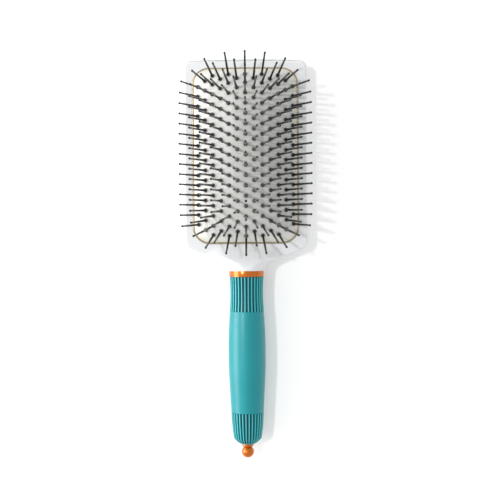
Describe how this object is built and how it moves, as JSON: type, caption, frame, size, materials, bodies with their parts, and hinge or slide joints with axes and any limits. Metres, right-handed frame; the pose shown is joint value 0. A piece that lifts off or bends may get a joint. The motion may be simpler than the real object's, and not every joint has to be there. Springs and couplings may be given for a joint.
{
  "type": "paddle hair brush",
  "caption": "Paddle hair brush: domed air cushion of ball-tipped pins in a flat head, round soft grip with ribbed ends, and a pull-out pick with a ball knob.",
  "frame": {"origin": "on the flat back face of the head, under the middle of the cushion", "axes": "+Z the way the pins point, +Y towards the head's top edge with the handle along -Y, +X to the right seen from the front"},
  "size_m": [0.087, 0.2683, 0.0484],
  "materials": {
    "white_shell": "gloss white moulding",
    "pearl_rubber": "satin pearly light grey",
    "gold_trim": "metallic gold",
    "orange_trim": "metallic orange gloss",
    "dark_teal_core": "dark teal moulding",
    "turquoise_grip": "turquoise soft-touch",
    "plated_steel": "zinc plated",
    "polished_steel": "polished",
    "black_rubber": "black",
    "black_pins": "black gloss nylon"
  },
  "bodies": {
    "brush": {"head_body": "white_shell", "cushion_pad": "pearl_rubber", "retaining_ring": "gold_trim", "neck_ring": "orange_trim", "handle_core": "dark_teal_core", "grip_sleeve": "turquoise_grip", "tang_screw": "plated_steel", "screw_washer": "plated_steel", "end_collar": "orange_trim"},
    "pick": {"pick_knob": "orange_trim", "pick_pin": "polished_steel", "pick_oring": "black_rubber"},
    "crown_zone": {"crown_pins": "black_pins"},
    "inner_zone": {"inner_pins": "black_pins"},
    "middle_zone": {"middle_pins": "black_pins"},
    "shoulder_zone": {"shoulder_pins": "black_pins"},
    "outer_zone": {"outer_pins": "black_pins"},
    "border_zone": {"border_pins": "black_pins"},
    "edge_zone": {"edge_pins": "black_pins"},
    "rim_zone": {"rim_pins": "black_pins"}
  },
  "joints": [
    {"name": "pick_slide", "type": "slide", "parent": "brush", "child": "pick", "axis": [0, -1, 0], "range_m": [0, 0.088]},
    {"name": "cushion_press", "type": "slide", "parent": "brush", "child": "crown_zone", "axis": [0, 0, -1], "range_m": [0, 0.003], "stiffness_N_per_m": 1500, "deforming": ["cushion_pad"]},
    {"name": "inner_press", "type": "slide", "parent": "brush", "child": "inner_zone", "axis": [0, 0, -1], "range_m": [0, 0.00263]},
    {"name": "middle_press", "type": "slide", "parent": "brush", "child": "middle_zone", "axis": [0, 0, -1], "range_m": [0, 0.0024]},
    {"name": "shoulder_press", "type": "slide", "parent": "brush", "child": "shoulder_zone", "axis": [0, 0, -1], "range_m": [0, 0.00204]},
    {"name": "outer_press", "type": "slide", "parent": "brush", "child": "outer_zone", "axis": [0, 0, -1], "range_m": [0, 0.00171]},
    {"name": "border_press", "type": "slide", "parent": "brush", "child": "border_zone", "axis": [0, 0, -1], "range_m": [0, 0.0014]},
    {"name": "edge_press", "type": "slide", "parent": "brush", "child": "edge_zone", "axis": [0, 0, -1], "range_m": [0, 0.00112]},
    {"name": "rim_press", "type": "slide", "parent": "brush", "child": "rim_zone", "axis": [0, 0, -1], "range_m": [0, 0.00067]}
  ],
  "couplings": [
    {"joint": "inner_press", "follows": "cushion_press", "ratio": 0.87},
    {"joint": "middle_press", "follows": "cushion_press", "ratio": 0.7935},
    {"joint": "shoulder_press", "follows": "cushion_press", "ratio": 0.6742},
    {"joint": "outer_press", "follows": "cushion_press", "ratio": 0.5639},
    {"joint": "border_press", "follows": "cushion_press", "ratio": 0.4601},
    {"joint": "edge_press", "follows": "cushion_press", "ratio": 0.3654},
    {"joint": "rim_press", "follows": "cushion_press", "ratio": 0.2151}
  ]
}
